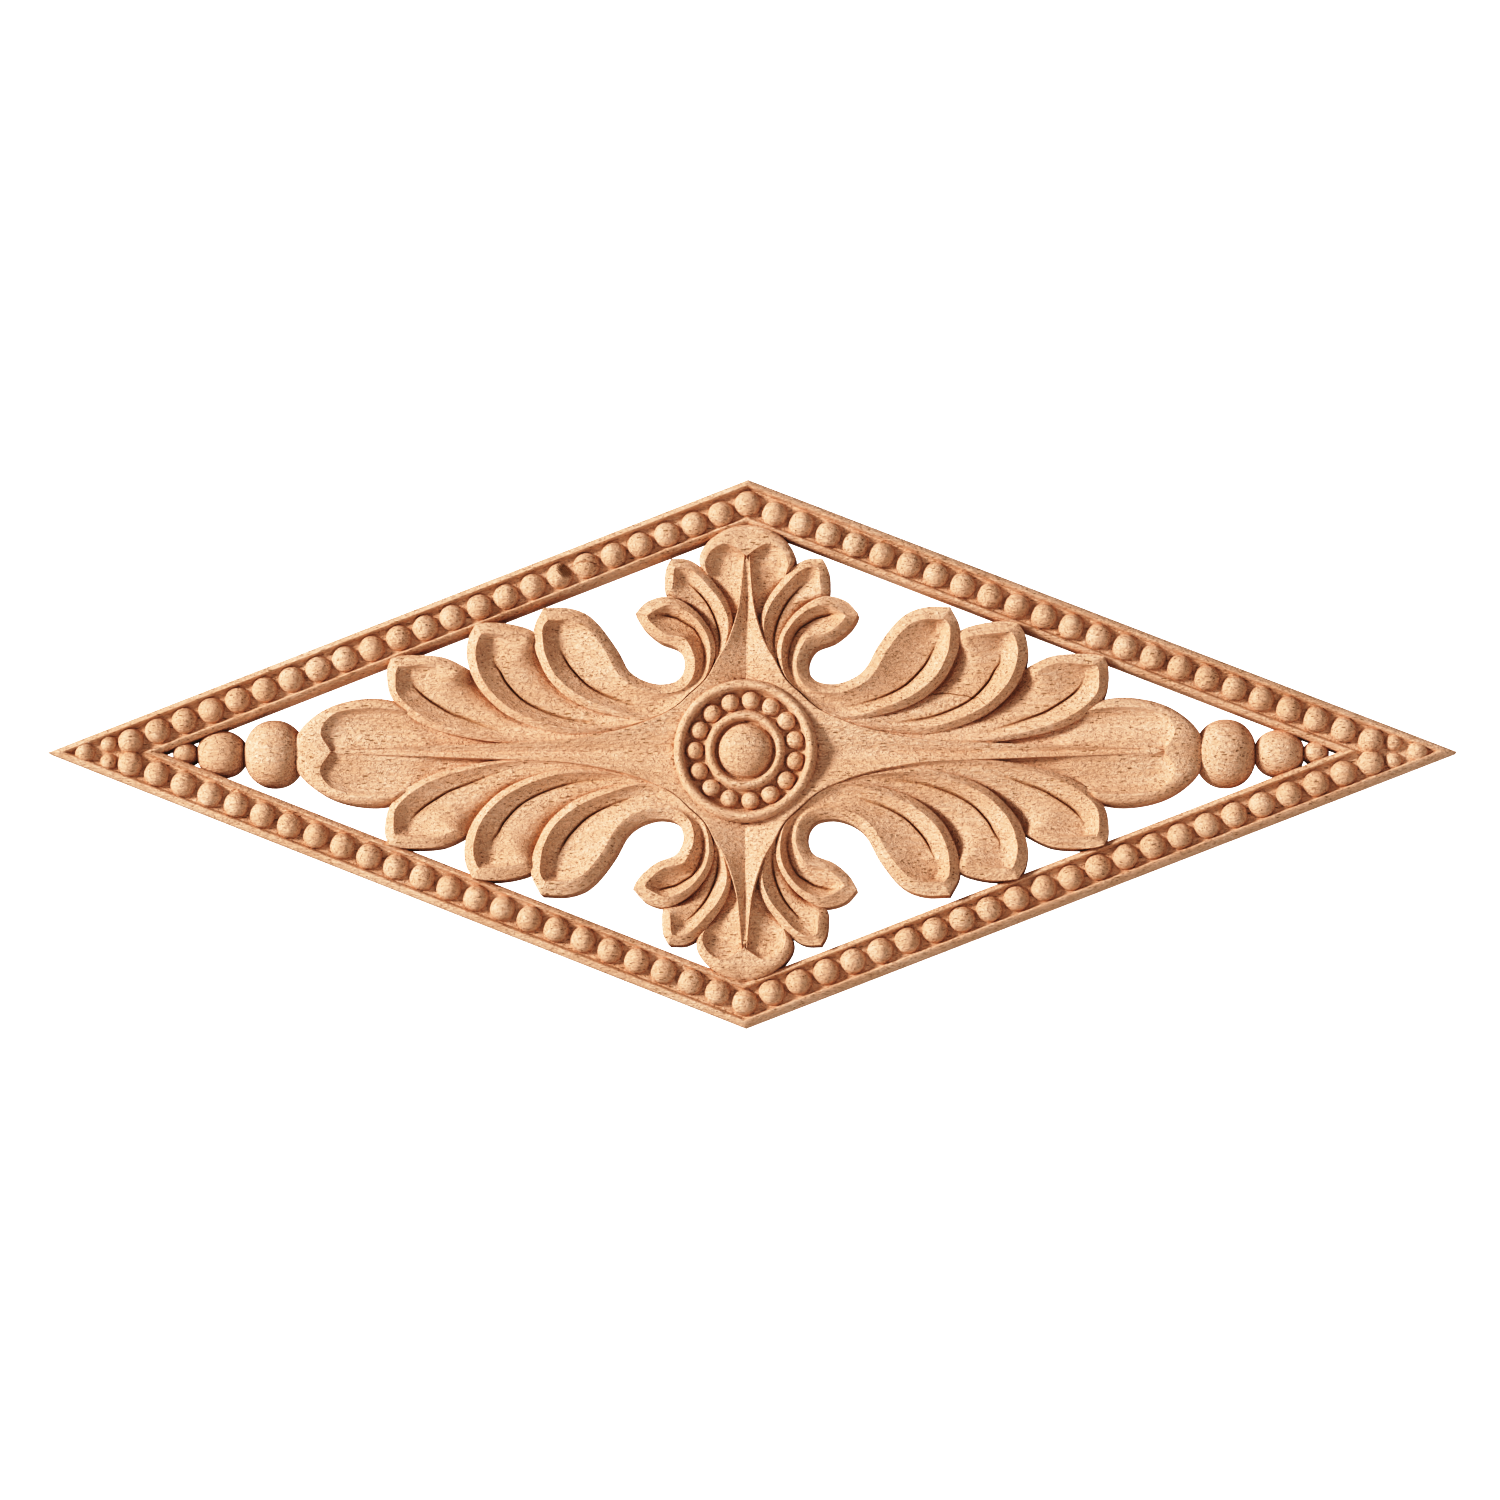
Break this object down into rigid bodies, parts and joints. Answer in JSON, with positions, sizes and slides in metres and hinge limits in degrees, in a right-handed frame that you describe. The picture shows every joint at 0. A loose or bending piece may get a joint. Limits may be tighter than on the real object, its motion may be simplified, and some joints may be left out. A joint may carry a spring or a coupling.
{
  "type": "carved wood applique",
  "caption": "Openwork lozenge of carved wood with a beaded border, a central rosette and acanthus leaves, made to be fixed flat to a panel or wall.",
  "frame": {"origin": "on the flat back, behind the middle of the rosette", "axes": "+X along the lozenge, +Z across it, +Y out of the back; the carving faces -Y"},
  "size_m": [0.4, 0.016, 0.156],
  "materials": {
    "wood": "bare machine-carved hardwood with a fuzzy, unsanded surface"
  },
  "bodies": {
    "root": {"carved_applique": "wood"}
  },
  "joints": []
}
